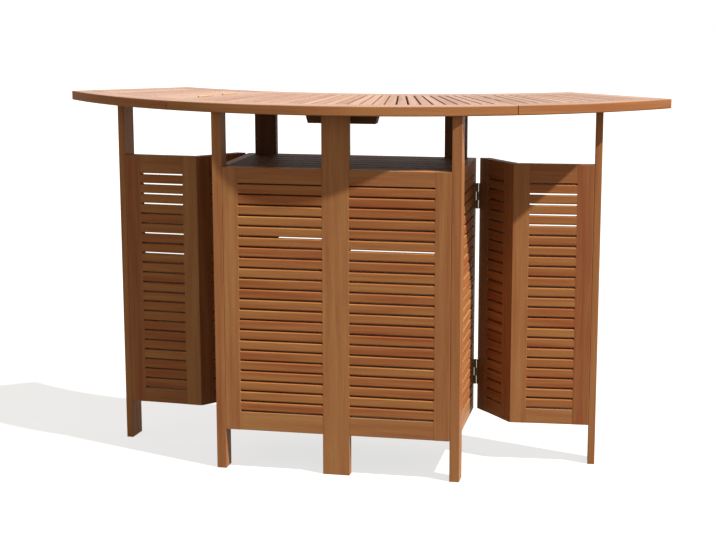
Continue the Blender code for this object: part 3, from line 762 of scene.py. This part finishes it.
def panel(name, outer, opening, inward, heights, body, nodes, seed, daylight=NO_DAYLIGHT):
    """Stiles, rails and battens of one panel, from its plan outline."""
    ease = bpy.context.scene.bar_sizes.edge_ease
    deep = inward * PANEL_T
    timber = Timber(seed)
    shown_near, shown_far, hidden_near, hidden_far = outer
    for stile in ((shown_near, opening[0], opening[0] + deep, hidden_near),
                  (opening[1], shown_far, hidden_far, opening[1] + deep)):
        timber.upright(stile, PANEL_BOTTOM, PANEL_TOP, ease)
    for z in ((heights[1], PANEL_TOP), (PANEL_BOTTOM, heights[0])):
        timber.beam(opening[0], opening[1], inward, z, ease)
    seat(timber.finish(name + "_boards", teak("frame")), body, "teak_frame", nodes[0])
    louvre_bank(name + "_battens", *opening, inward, heights, body, nodes[1], seed + 1, daylight)


class BARCOUNTER_OT_posts(Operator):
    """Make the centre post, the legs, the rear posts and the rails between these"""
    bl_idname = "barcounter.posts"
    bl_label = "Posts and legs"

    def execute(self, context):
        ease = context.scene.bar_sizes.edge_ease
        nodes = ["centre_post", "rear_top_rail", "rear_bottom_rail"]
        nodes += [kind + name for kind in ("front_leg_", "rear_post_") for name in dict(SIDES)]
        for number, node in enumerate(nodes):
            low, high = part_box(node)
            timber = Timber(seed_for(number))
            if "rail" in node:
                timber.beam(Vector((low.x, low.y)), Vector((high.x, low.y)), Vector((0, 1)),
                            (low.z, high.z), ease, thick=high.y - low.y)
            else:
                timber.upright([(low.x, low.y), (high.x, low.y), (high.x, high.y), (low.x, high.y)],
                               low.z, high.z, ease)
            # Rear posts and rails take the teak darkened as painted shade.
            wood = teak("inside") if node.startswith("rear_") else teak("frame")
            seat(timber.finish(node + "_board", wood), "counter", "teak_frame", node)
        return {"FINISHED"}


class BARCOUNTER_OT_body_panels(Operator):
    """Make the louvred front and side panels"""
    bl_idname = "barcounter.body_panels"
    bl_label = "Body panels"

    def execute(self, context):
        ease = context.scene.bar_sizes.edge_ease
        far = BODY_HALF_W - FRONT_LEG_W - FIT
        near = POST_W / 2 + FIT
        inner = far - FRONT_STILE_W
        y_in = Vector((0, 1))
        for number, (name, side) in enumerate(SIDES):
            timber = Timber(seed_for(20 + number))
            stile = [(side * inner, FRONT), (side * far, FRONT), (side * far, FRONT + PANEL_T),
                     (side * inner, FRONT + PANEL_T)]
            timber.upright(stile, PANEL_BOTTOM, PANEL_TOP, ease)
            ends = [Vector((side * x, FRONT)) for x in (near, inner)]
            for z in ((BODY_OPENING[1], PANEL_TOP), (PANEL_BOTTOM, BODY_OPENING[0])):
                timber.beam(*ends, y_in, z, ease)
            seat(timber.finish("front_panel_boards_" + name, teak("frame")), "counter",
                 "teak_frame", "front_frame_" + name)
            louvre_bank("front_panel_battens_" + name, *ends, y_in, BODY_OPENING, "counter",
                        "front_louvres_" + name, seed_for(24 + number), FRONT_DAYLIGHT[name])
            y0 = FRONT + FRONT_LEG_D + FIT
            shown = [Vector((side * SIDE_X, y)) for y in (y0, REAR)]
            inward = Vector((-side, 0))
            outer = (*shown, *(p + inward * PANEL_T for p in shown))
            opening = (shown[0] + Vector((0, SIDE_STILE_W)), shown[1] - Vector((0, SIDE_STILE_W)))
            panel("side_panel_" + name, outer, opening, inward, BODY_OPENING, "counter",
                  ("side_frame_" + name, "side_louvres_" + name), seed_for(30 + 2 * number))
        return {"FINISHED"}


class BARCOUNTER_OT_shelves(Operator):
    """Make the boards and bearers of both shelves"""
    bl_idname = "barcounter.shelves"
    bl_label = "Shelves"

    def execute(self, context):
        ease = context.scene.bar_sizes.edge_ease
        y0 = FRONT + PANEL_T + FIT
        y1 = REAR - REAR_POST_T - FIT
        half = SIDE_INNER_X - FIT
        count = int((y1 - y0 + SHELF_GAP) / (SHELF_BOARD_W + SHELF_GAP) + COUNT_SLACK)
        pitch = (y1 - y0 + SHELF_GAP) / count
        levels = (("upper_shelf", PANEL_TOP), ("lower_shelf", LOWER_SHELF_Z))
        for number, (name, top) in enumerate(levels):
            timber = Timber(seed_for(40 + number))
            under = top - SHELF_T
            for k in range(count):
                y = y0 + k * pitch
                timber.beam(Vector((-half, y)), Vector((half, y)), Vector((0, 1)), (under, top),
                            ease, thick=pitch - SHELF_GAP)
            for side in (-1, 1):
                x = side * (half - BEARER_W / 2) - BEARER_W / 2
                timber.beam(Vector((x, y0 + BEARER_SETBACK)), Vector((x, y1 - SHELF_GAP)),
                            Vector((1, 0)), (under - BEARER_H, under - FIT), ease, thick=BEARER_W)
            # The shelves take the teak darkened as painted shade.
            seat(timber.finish(name + "_boards", teak("inside")), "counter", "teak_slats", name)
        return {"FINISHED"}


def make_fan(name, line_a, line_b, side, body, node, seed):
    """Tapered slats between two cuts, on their two bent battens."""
    values = {"Seed": seed, "Finish": teak("top")}
    count = 0
    for label, centre, radius in (("Front", FRONT_CENTRE, FAN_FRONT_R),
                                  ("Back", BACK_CENTRE, FAN_BACK_R)):
        first, last = (turn_of(meet(line, centre, radius), centre) for line in (line_a, line_b))
        span = last - first
        count = count or round((span * radius - SLAT_GAP) / (SLAT_W + SLAT_GAP))
        gap = SLAT_GAP / radius
        width = (span - (count + 1) * gap) / count
        start = (first if side > 0 else -last) + gap
        values.update(zip((label + part for part in FAN_PARTS),
                          (centre.y, radius, start, width, width + gap)))
    values["Count"] = count
    ease = bpy.context.scene.bar_sizes.slat_ease
    length = (meet(line_a, BACK_CENTRE, FAN_BACK_R)
              - meet(line_a, FRONT_CENTRE, FAN_FRONT_R)).length
    timber = Timber(seed, repeated=True)
    timber.add([cut(Vector((0, y)), Vector((SLAT_W, y)), SLATS_UNDER, COUNTER_H)
                for y in (0, length)], ease)
    slat = timber.finish(name + "_first", teak("top"))
    slat.data.transform(Matrix.Diagonal((1 / SLAT_W, 1 / length, 1, 1)))
    fan = grown(slat, tree_named("fan of slats", fan_tree), values, name)
    seat(fan, body, "teak_top", node)
    under = Timber(seed + 1)
    for centre, radii in (
            (FRONT_CENTRE, (FAN_FRONT_R - BENT_SETBACK, FAN_FRONT_R - SLAT_BATTEN_W)),
            (BACK_CENTRE, (FAN_BACK_R + SLAT_BATTEN_W, FAN_BACK_R + BENT_SETBACK))):
        rows = band_points(line_a, line_b, centre, radii, BENT_STEPS, side)
        under.bent(*rows, TOP_UNDER, SLATS_UNDER - BENT_DROP, BENT_EASE)
    seat(under.finish(name + "_battens", teak("frame")), body, "teak_top", node)


def rail_board(timber, line_a, line_b, side, ease):
    """A straight rail from the front rim to the back rim."""
    ends = [flipped([meet(line, centre, radius) for line in (line_a, line_b)], side)
            for centre, radius in ((FRONT_CENTRE, FAN_FRONT_R), (BACK_CENTRE, FAN_BACK_R))]
    timber.add([cut(*end, TOP_UNDER, COUNTER_H) for end in ends], ease)


class BARCOUNTER_OT_middle_top(Operator):
    """Make the middle section of the crescent top and its cross cleat"""
    bl_idname = "barcounter.middle_top"
    bl_label = "Middle of the top"

    def execute(self, context):
        sizes = context.scene.bar_sizes
        edge = joint_line(-JOINT_SHOWN / 2)
        fitted = joint_line(-RAIL_REACH - TOP_FIT)
        for number, (kind, centre, radii) in enumerate(RIMS):
            timber = Timber(seed_for(50 + number))
            rows = band_points(mirrored(edge), edge, centre, radii, MIDDLE_STEPS, 1)
            timber.bent(*rows, TOP_UNDER, COUNTER_H, sizes.rim_ease)
            name = "top_" + kind
            seat(timber.finish(name + "_board", teak("top")), "counter", "teak_top", name)
        make_fan("top_slat_fan", mirrored(fitted), fitted, 1, "counter", "top_slats", seed_for(54))
        low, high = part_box("centre_cleat")
        timber = Timber(seed_for(58))
        timber.add([cut(Vector((x, low.y)), Vector((x, high.y)), base, high.z) for x, base in (
            (low.x, TOP_UNDER), (low.x + CLEAT_TAPER, low.z),
            (high.x - CLEAT_TAPER, low.z), (high.x, TOP_UNDER))], sizes.edge_ease)
        # The cleat takes the teak darkened as painted shade.
        seat(timber.finish("centre_cleat_board", teak("inside")), "counter", "teak_top",
             "centre_cleat")
        return {"FINISHED"}


class BARCOUNTER_OT_leaves(Operator):
    """Make the two folding leaves of the top"""
    bl_idname = "barcounter.leaves"
    bl_label = "Leaves"

    def execute(self, context):
        sizes = context.scene.bar_sizes
        edge = joint_line(JOINT_SHOWN / 2)
        edge_fitted = joint_line(RAIL_REACH + TOP_FIT)
        end = end_line(0)
        end_inner = end_line(END_RAIL_W)
        end_fitted = end_line(END_RAIL_W + TOP_FIT)
        for number, (name, side) in enumerate(SIDES):
            body = "leaf_" + name
            seed = seed_for(60 + 10 * number)
            for offset, (kind, centre, radii) in enumerate(RIMS):
                timber = Timber(seed + offset)
                timber.bent(*band_points(edge, end, centre, radii, LEAF_STEPS, side), TOP_UNDER,
                            COUNTER_H, sizes.rim_ease, far_end=sizes.rim_ease)
                seat(timber.finish("leaf_%s_board_%s" % (kind, name), teak("top")), body,
                     "teak_top", "leaf_%s_%s" % (kind, name))
            timber = Timber(seed + 3)
            rail_board(timber, end_inner, end, side, sizes.edge_ease)
            seat(timber.finish("leaf_end_rail_board_" + name, teak("top")), body, "teak_top",
                 "leaf_end_rail_" + name)
            make_fan("leaf_slat_fan_" + name, edge_fitted, end_fitted, side, body,
                     "leaf_slats_" + name, seed + 4)
        return {"FINISHED"}


class BARCOUNTER_OT_hinge_rails(Operator):
    """Notch and dress the rails on both sides of each hinge line"""
    bl_idname = "barcounter.hinge_rails"
    bl_label = "Rails at the hinge lines"

    def execute(self, context):
        edges = [joint_line(s * JOINT_SHOWN / 2) for s in (-1, 1)]
        inners = [joint_line(s * RAIL_REACH) for s in (-1, 1)]
        ease = context.scene.bar_sizes.edge_ease
        for number, (name, side) in enumerate(SIDES):
            rails = (("top_end_rail_", "counter", inners[0], edges[0]),
                     ("leaf_hinge_rail_", "leaf_" + name, edges[1], inners[1]))
            for k, (kind, body, *lines) in enumerate(rails):
                timber = Timber(seed_for(90 + 2 * number + k))
                rail_board(timber, *lines, side, ease)
                rail = timber.finish(kind + "board_" + name, teak("top"))
                notch_barrels(rail, side)
                seat(rail, body, "teak_top", kind + name)
        return {"FINISHED"}


def leaf_hinge_places(side):
    """Middles of both hinges of one leaf, and their axis, in space."""
    line = joint_line(0)
    mid = (meet(line, FRONT_CENTRE, FRONT_R - RIM_W) + meet(line, BACK_CENTRE, BACK_R + RIM_W)) / 2
    along = line[1]
    axis = Vector((side * along.x, along.y, 0))
    places = []
    for sign in (-1, 1):
        at = mid + along * (sign * LEAF_HINGE_SPREAD / 2)
        places.append(Vector((side * at.x, at.y, COUNTER_H + LEAF_AXIS_RISE)))
    return places, axis


def notch_barrels(rail, side):
    """Cut the hollows that the knuckles lie in out of a rail's top edge."""
    places, axis = leaf_hinge_places(side)
    bm = bmesh.new()
    for place in places:
        made = bmesh.ops.create_cone(bm, cap_ends=True, segments=24, radius1=HOLLOW_R,
                                     radius2=HOLLOW_R, depth=LEAF_HINGE_L + HOLLOW_SPARE)
        bmesh.ops.transform(bm, matrix=Matrix.Translation(place) @ standing(axis),
                            verts=made["verts"])
    cutter = piece_from("barrel hollows", bm)
    carve = rail.modifiers.new("barrel hollows", "BOOLEAN")
    carve.operation = "DIFFERENCE"
    carve.object = cutter
    result = applied(rail, carve)
    bpy.data.objects.remove(cutter)
    while len(result.materials) > 1:
        result.materials.pop()
    result.set_sharp_from_angle(angle=SHARP_ANGLE)


class BARCOUNTER_OT_wings(Operator):
    """Make the two louvred wings and their outer legs"""
    bl_idname = "barcounter.wings"
    bl_label = "Wings"

    def execute(self, context):
        plan = wing_plan()
        w = WING_STILE_W
        back_w = (plan["bevel_out"] - plan["corner"]).length
        far = plan["corner"] + plan["out"] * (WING_FRONT_W - FIT)
        panels = (("return", "back", (plan["bevel_out"], plan["bevel_in"]), back_w),
                  ("front", "out", (far, far + plan["out_in"] * PANEL_T), WING_FRONT_W - FIT))
        for number, (name, side) in enumerate(SIDES):
            body = "wing_" + name
            seed = seed_for(100 + 20 * number)
            for offset, (part, way, edge, width) in enumerate(panels):
                along, inward = plan[way], plan[way + "_in"]
                shift = along * FIT
                outer = (plan["corner"] + shift, edge[0], plan["inner"] + shift, edge[1])
                opening = (plan["corner"] + along * w, plan["corner"] + along * (width - w))
                label = "wing_%s_%%s_%s" % (part, name)
                panel("wing_%s_panel_%s" % (part, name), flipped(outer, side),
                      flipped(opening, side), flipped([inward], side)[0], WING_OPENING, body,
                      (label % "frame", label % "louvres"), seed + 4 * offset,
                      WING_DAYLIGHT[name] if part == "front" else NO_DAYLIGHT)
            foot = plan["corner"] + plan["out"] * WING_FRONT_W
            tip = foot + plan["out"] * WING_LEG_W
            deep = plan["out_in"] * WING_LEG_D
            timber = Timber(seed + 9)
            timber.upright(flipped([foot, tip, tip + deep, foot + deep], side), 0, LEG_TOP,
                           context.scene.bar_sizes.edge_ease)
            seat(timber.finish("wing_leg_board_" + name, teak("frame")), body, "teak_frame",
                 "wing_leg_" + name)
        return {"FINISHED"}


def screw_head(width, at, facing, turn):
    """A countersunk slotted screw head, turned about the way it faces."""
    r = width / 2
    core = r * SCREW_CORE
    bm = bmesh.new()
    bmesh.ops.create_cone(bm, cap_ends=True, segments=2 * SCREW_STEPS, radius1=core, radius2=core,
                          depth=SCREW_RISE / 2)
    start = math.asin(SCREW_HALF_SLOT / r)
    turns = [start + (math.pi - 2 * start) * i / SCREW_STEPS for i in range(SCREW_STEPS + 1)]
    for sign in (-1, 1):
        rims = [[bm.verts.new((scale * r * math.cos(t),
                               sign * max(scale * r * math.sin(t), SCREW_HALF_SLOT), z))
                 for t in turns] for scale, z in ((1.0, 0.0), (SCREW_BEVEL, SCREW_RISE))]
        bm.faces.new(rims[1])
        for i in range(len(turns)):
            bm.faces.new((rims[0][i - 1], rims[0][i], rims[1][i], rims[1][i - 1]))
    bmesh.ops.recalc_face_normals(bm, faces=bm.faces)
    spin = Matrix.Rotation(turn, 4, "Z")
    bmesh.ops.transform(bm, matrix=Matrix.Translation(at) @ standing(facing) @ spin, verts=bm.verts)
    return bm


def screws(name, heads, step, body):
    """Rows of hinge screws: one of each row given, the rest a step apart."""
    whole = bmesh.new()
    for at, facing, turn in heads:
        bm = screw_head(bpy.context.scene.bar_sizes.screw_head, at, facing, turn)
        mesh = bpy.data.meshes.new("one screw")
        bm.to_mesh(mesh)
        bm.free()
        whole.from_mesh(mesh)
        bpy.data.meshes.remove(mesh)
    piece = piece_from(name, whole)
    # The screws take the brass darkened as painted shade.
    grown(piece, tree_named("row", row_tree), {
        "Count": SCREW_ROW, "Step": tuple(step), "Seed": 3, "Finish": brass("tarnished")}, name)
    seat(piece, body, "brass")


class BARCOUNTER_OT_hinges(Operator):
    """Give the brass hinges their finish and their screws"""
    bl_idname = "barcounter.hinges"
    bl_label = "Hinges"

    def execute(self, context):
        # Two copies of the brass: a pale one, painted light, for the sunlit top hinges, and a dark
        # one, painted shade, for the wing hinges.
        rubbed, tarnished = brass("rubbed", metallic=0.45, dulled=0.8), brass("tarnished")
        for node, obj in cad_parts.items():
            if "_hinge_" in node and "rail" not in node:
                obj.data.materials.clear()
                obj.data.materials.append(rubbed if node.startswith("leaf_") else tarnished)
        plan = wing_plan()
        half = WING_HINGE_INSET + WING_HINGE_L / 2
        run = BARREL_R + FIT + WING_HINGE_PLATE / 2
        step = Vector((0, 0, SCREW_APART))
        skin = HINGE_OFFSET - FIT - HINGE_PLATE_T
        back = turned(Vector((-1, 0)), -WING_CLOSED_TURN)
        behind = turned(Vector((0, 1)), -WING_CLOSED_TURN)
        on_body = plan["axis"] - Vector((run, skin))
        on_wing = plan["axis"] + back * run + behind * skin
        for name, side in SIDES:
            for kind, body, at, facing, turn in (
                    ("fixed_", "counter", on_body, Vector((0, 1)), SCREW_TURNS[0]),
                    ("moving_", "wing_" + name, on_wing, -behind, SCREW_TURNS[1])):
                heads = [(Vector((side * at.x, at.y, z - step.z)),
                          Vector((side * facing.x, facing.y, 0)), turn + z)
                         for z in (PANEL_BOTTOM + half, PANEL_TOP - half)]
                screws("wing_hinge_screws_" + kind + name, heads, step, body)
        return {"FINISHED"}


# Light and view, fitted to the photograph
SUN_STRENGTH = 7.6
SUN_SIZE = math.radians(1.5)
SUN_TOWARDS = Vector((0.522, -0.199, 0.826))
SKY_STRENGTH = 0.54
FLOOR_HALF = 30
FLOOR_GLOW = 0.72
CAMERA_LENS = 79.46
CAMERA_AT = (0.9316, -4.2003 + FRONT, 1.4001)
CAMERA_TURN, CAMERA_DIP, CAMERA_ROLL = 0.2037, 0.1858, -0.0019
WHITE = linear("#FFFFFF")


def seen_plainly(tree):
    """1 for what the camera sees, straight, in gloss or through glass."""
    path = add_node(tree, "ShaderNodeLightPath")
    seen = path.outputs["Is Camera Ray"]
    for ray in ("Is Glossy Ray", "Is Transmission Ray"):
        seen = add_node(tree, MATH, (seen, path.outputs[ray]), operation="MAXIMUM")
    return seen


def floor_finish():
    """Pale matt studio floor: white to the camera but for a light shadow, and
    mid grey to the light that it throws back, as a real ground is."""
    material, tree, ground = new_finish("pale matt floor")
    set_inputs(ground, {"Base Color": linear("#595550"), "Roughness": 0.9})
    pale = add_node(tree, "ShaderNodeBsdfDiffuse", {"Color": linear("#F2F1EF")})
    glow = add_node(tree, "ShaderNodeEmission", {"Color": WHITE, "Strength": 1.0})
    shown = add_node(tree, "ShaderNodeMixShader", (FLOOR_GLOW, pale, glow))
    mixed = add_node(tree, "ShaderNodeMixShader", (seen_plainly(tree), ground, shown))
    set_inputs(tree.nodes["Material Output"], {"Surface": mixed})
    return material


class BARCOUNTER_OT_stage(Operator):
    """Make the pale floor, the soft lights and the camera"""
    bl_idname = "barcounter.stage"
    bl_label = "Stage"

    def execute(self, context):
        scene = context.scene
        bm = bmesh.new()
        bmesh.ops.create_grid(bm, x_segments=1, y_segments=1, size=FLOOR_HALF)
        floor = piece_from("floor", bm, floor_finish())

        world = bpy.data.worlds.new("soft studio")
        world.use_nodes = True
        tree = world.node_tree
        soft = tree.nodes["Background"]
        set_inputs(soft, {"Color": linear("#FFF2E3"), "Strength": SKY_STRENGTH})
        white = add_node(tree, "ShaderNodeBackground", {"Color": WHITE, "Strength": 1.0})
        mixed = add_node(tree, "ShaderNodeMixShader", (seen_plainly(tree), soft, white))
        set_inputs(tree.nodes["World Output"], {"Surface": mixed})
        scene.world = world

        key = bpy.data.lights.new("key", "SUN")
        key.energy = SUN_STRENGTH
        key.angle = SUN_SIZE
        key.color = linear("#FBF4ED")[:3]
        lamp = linked("key", key)
        lamp.rotation_mode = "QUATERNION"
        lamp.rotation_quaternion = SUN_TOWARDS.to_track_quat("Z", "Y")
        lamp.location = SUN_TOWARDS * 6

        camera = bpy.data.cameras.new("camera")
        camera.lens = CAMERA_LENS
        camera.sensor_width = 36
        view = linked("camera", camera)
        view.matrix_world = (Matrix.Translation(CAMERA_AT)
                             @ Matrix.Rotation(CAMERA_TURN, 4, "Z")
                             @ Matrix.Rotation(math.pi / 2 - CAMERA_DIP, 4, "X")
                             @ Matrix.Rotation(CAMERA_ROLL, 4, "Z"))
        scene.camera = view
        scene.view_settings.view_transform = "Standard"
        return {"FINISHED"}


class BARCOUNTER_PT_sidebar(Panel):
    """Lists the sizes, the colours and the pieces of the bar counter"""
    bl_idname = "BARCOUNTER_PT_sidebar"
    bl_label = "Bar Counter"
    bl_space_type = "VIEW_3D"
    bl_region_type = "UI"
    bl_category = "Bar Counter"

    def draw(self, context):
        layout = self.layout
        scene = context.scene
        for title, group in (("Sizes", scene.bar_sizes), ("Colours", scene.bar_colours)):
            box = layout.box()
            box.label(text=title)
            for name in group.__annotations__:
                box.prop(group, name)
        column = layout.column(align=True)
        for operator in OPERATORS:
            column.operator(operator.bl_idname)


OPERATORS = (
    BARCOUNTER_OT_posts,
    BARCOUNTER_OT_body_panels,
    BARCOUNTER_OT_shelves,
    BARCOUNTER_OT_middle_top,
    BARCOUNTER_OT_leaves,
    BARCOUNTER_OT_hinge_rails,
    BARCOUNTER_OT_wings,
    BARCOUNTER_OT_hinges,
    BARCOUNTER_OT_stage,
)
CLASSES = (BarCounterSizes, BarCounterColours, *OPERATORS, BARCOUNTER_PT_sidebar)


def register():
    for cls in CLASSES:
        bpy.utils.register_class(cls)
    bpy.types.Scene.bar_sizes = PointerProperty(type=BarCounterSizes)
    bpy.types.Scene.bar_colours = PointerProperty(type=BarCounterColours)


def unregister():
    del bpy.types.Scene.bar_colours
    del bpy.types.Scene.bar_sizes
    for cls in reversed(CLASSES):
        bpy.utils.unregister_class(cls)


def main():
    register()
    bpy.ops.barcounter.posts()
    bpy.ops.barcounter.body_panels()
    bpy.ops.barcounter.shelves()
    bpy.ops.barcounter.middle_top()
    bpy.ops.barcounter.leaves()
    bpy.ops.barcounter.hinge_rails()
    bpy.ops.barcounter.wings()
    bpy.ops.barcounter.hinges()
    bpy.ops.barcounter.stage()


if __name__ == "__main__":
    main()
